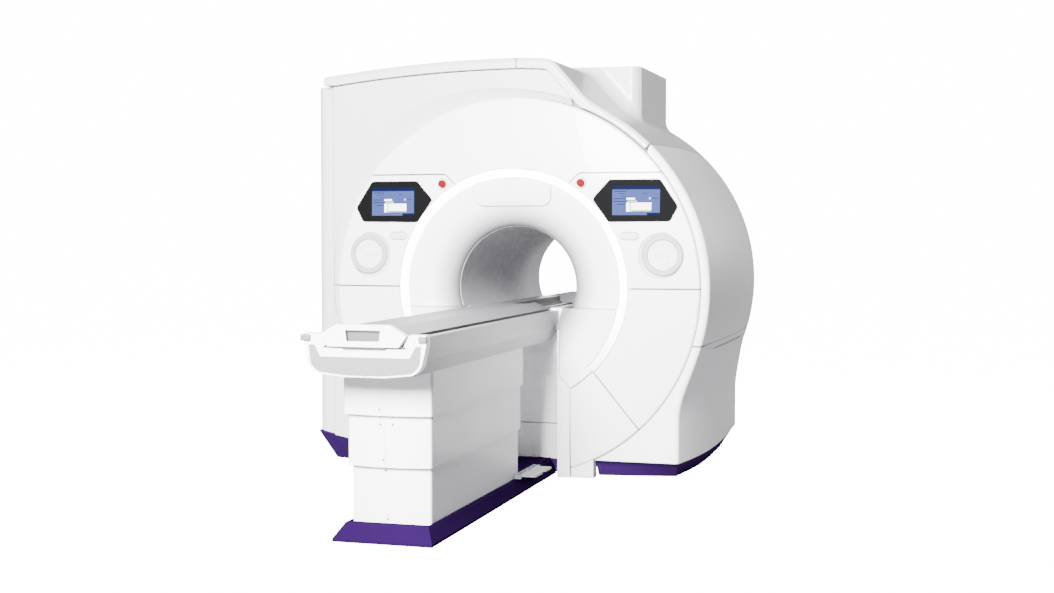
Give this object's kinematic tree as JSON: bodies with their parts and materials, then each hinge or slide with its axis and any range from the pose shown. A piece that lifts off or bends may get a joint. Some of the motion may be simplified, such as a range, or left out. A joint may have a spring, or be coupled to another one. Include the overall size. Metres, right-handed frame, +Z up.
{
  "type": "mri scanner",
  "caption": "Wide bore MRI scanner: white gantry with flared lit mouth and control panels, telescoping table with a sliding cradle, magnet and coils inside.",
  "frame": {"origin": "on the floor under the isocentre, at the centre of the four magnet anchor holes", "axes": "+Y runs along the bore away from the table foot, +X to the right seen from the table foot, +Z up"},
  "size_m": [2.387, 3.9965, 2.405],
  "materials": {
    "cover_white": "satin gel coat",
    "plinth_purple": "satin",
    "frame_steel": "satin",
    "vessel_steel": "brushed",
    "coil_copper": "resin over copper",
    "coil_resin": "cast resin",
    "head_aluminium": "machined",
    "bezel_charcoal": "gloss",
    "display_glass": "lit panel",
    "key_grey": "matte",
    "stop_red": "gloss",
    "bore_grey": "satin",
    "ring_glow": "diffuser",
    "insert_grey": "matte",
    "table_grey": "satin",
    "roller_rubber": "matte"
  },
  "bodies": {
    "gantry": {"body_coil": "coil_resin", "bore_bridge": "cover_white", "bore_liner": "bore_grey", "cold_head": "head_aluminium", "control_panel_left": "cover_white", "control_panel_right": "cover_white", "deck_cover": "cover_white", "display_bezel_left": "bezel_charcoal", "display_bezel_right": "bezel_charcoal", "display_screen_left": "display_glass", "display_screen_right": "display_glass", "flare_cover": "cover_white", "front_frame": "frame_steel", "front_kick_cover_left": "cover_white", "front_kick_cover_right": "cover_white", "front_lower_cover_left": "cover_white", "front_lower_cover_right": "cover_white", "front_upper_cover": "cover_white", "gradient_coil": "coil_resin", "keypad_left": "key_grey", "keypad_right": "key_grey", "left_lower_panel": "cover_white", "left_side_cover": "cover_white", "left_upper_panel": "cover_white", "light_ring": "ring_glow", "lower_shroud": "cover_white", "magnet_base": "frame_steel", "magnet_cryostat": "vessel_steel", "main_coils": "coil_copper", "pedal_bracket": "frame_steel", "plinth_left": "plinth_purple", "plinth_recess": "plinth_purple", "plinth_right": "plinth_purple", "rear_flare_ring": "cover_white", "rear_frame": "frame_steel", "rear_left_cover": "cover_white", "rear_right_cover": "cover_white", "recess_kick_panel": "cover_white", "recess_liner": "cover_white", "right_lower_side_cover": "cover_white", "right_upper_side_cover": "cover_white", "table_base_cover": "plinth_purple", "table_base_frame": "frame_steel", "top_left_cover": "cover_white", "top_right_cover": "cover_white"},
    "lift_middle_stage": {"middle_shroud": "cover_white", "lift_columns_middle": "frame_steel"},
    "table_top": {"table_tray": "table_grey", "upper_shroud": "cover_white", "foot_bumper": "cover_white", "bumper_insert": "insert_grey", "lift_columns_inner": "frame_steel"},
    "cradle_body": {"cradle": "table_grey", "cradle_end_cap": "cover_white"},
    "stop_button_left_body": {"stop_button_left": "stop_red"},
    "stop_button_right_body": {"stop_button_right": "stop_red"},
    "pedal_up_body": {"pedal_up": "key_grey"},
    "pedal_down_body": {"pedal_down": "key_grey"},
    "tray_drive_roller_body": {"tray_drive_roller": "roller_rubber"},
    "bridge_roller_body": {"bridge_roller": "roller_rubber"}
  },
  "joints": [
    {"name": "table_lift", "type": "slide", "parent": "gantry", "child": "table_top", "axis": [0, 0, 1], "range_m": [-0.35, 0]},
    {"name": "lift_middle_slide", "type": "slide", "parent": "gantry", "child": "lift_middle_stage", "axis": [0, 0, 1], "range_m": [-0.175, 0]},
    {"name": "cradle_slide", "type": "slide", "parent": "table_top", "child": "cradle_body", "axis": [0, 1, 0], "range_m": [0, 1.65]},
    {"name": "stop_left_press", "type": "slide", "parent": "gantry", "child": "stop_button_left_body", "axis": [0, 1, 0], "range_m": [0, 0.005], "stiffness_N_per_m": 800, "springref_m": -0.004},
    {"name": "stop_right_press", "type": "slide", "parent": "gantry", "child": "stop_button_right_body", "axis": [0, 1, 0], "range_m": [0, 0.005], "stiffness_N_per_m": 800, "springref_m": -0.004},
    {"name": "pedal_up_hinge", "type": "hinge", "parent": "gantry", "child": "pedal_up_body", "pos_m": [0.222, -1.4425, 0.092], "axis": [0, 1, 0], "range_deg": [0, 8], "stiffness_Nm_per_rad": 2, "springref_deg": -20.05},
    {"name": "pedal_down_hinge", "type": "hinge", "parent": "gantry", "child": "pedal_down_body", "pos_m": [0.222, -1.2675, 0.092], "axis": [0, 1, 0], "range_deg": [0, 8], "stiffness_Nm_per_rad": 2, "springref_deg": -20.05},
    {"name": "tray_roller_spin", "type": "hinge", "parent": "table_top", "child": "tray_drive_roller_body", "pos_m": [0, -1.1, 0.8797], "axis": [-1, 0, 0], "range_deg": [0, 4800]},
    {"name": "bridge_roller_spin", "type": "hinge", "parent": "gantry", "child": "bridge_roller_body", "pos_m": [0, -0.55, 0.8797], "axis": [-1, 0, 0], "range_deg": [0, 4800]}
  ],
  "couplings": [
    {"joint": "lift_middle_slide", "follows": "table_lift", "ratio": 0.5},
    {"joint": "tray_roller_spin", "follows": "cradle_slide", "rad_per_m": 50},
    {"joint": "bridge_roller_spin", "follows": "cradle_slide", "rad_per_m": 50}
  ]
}
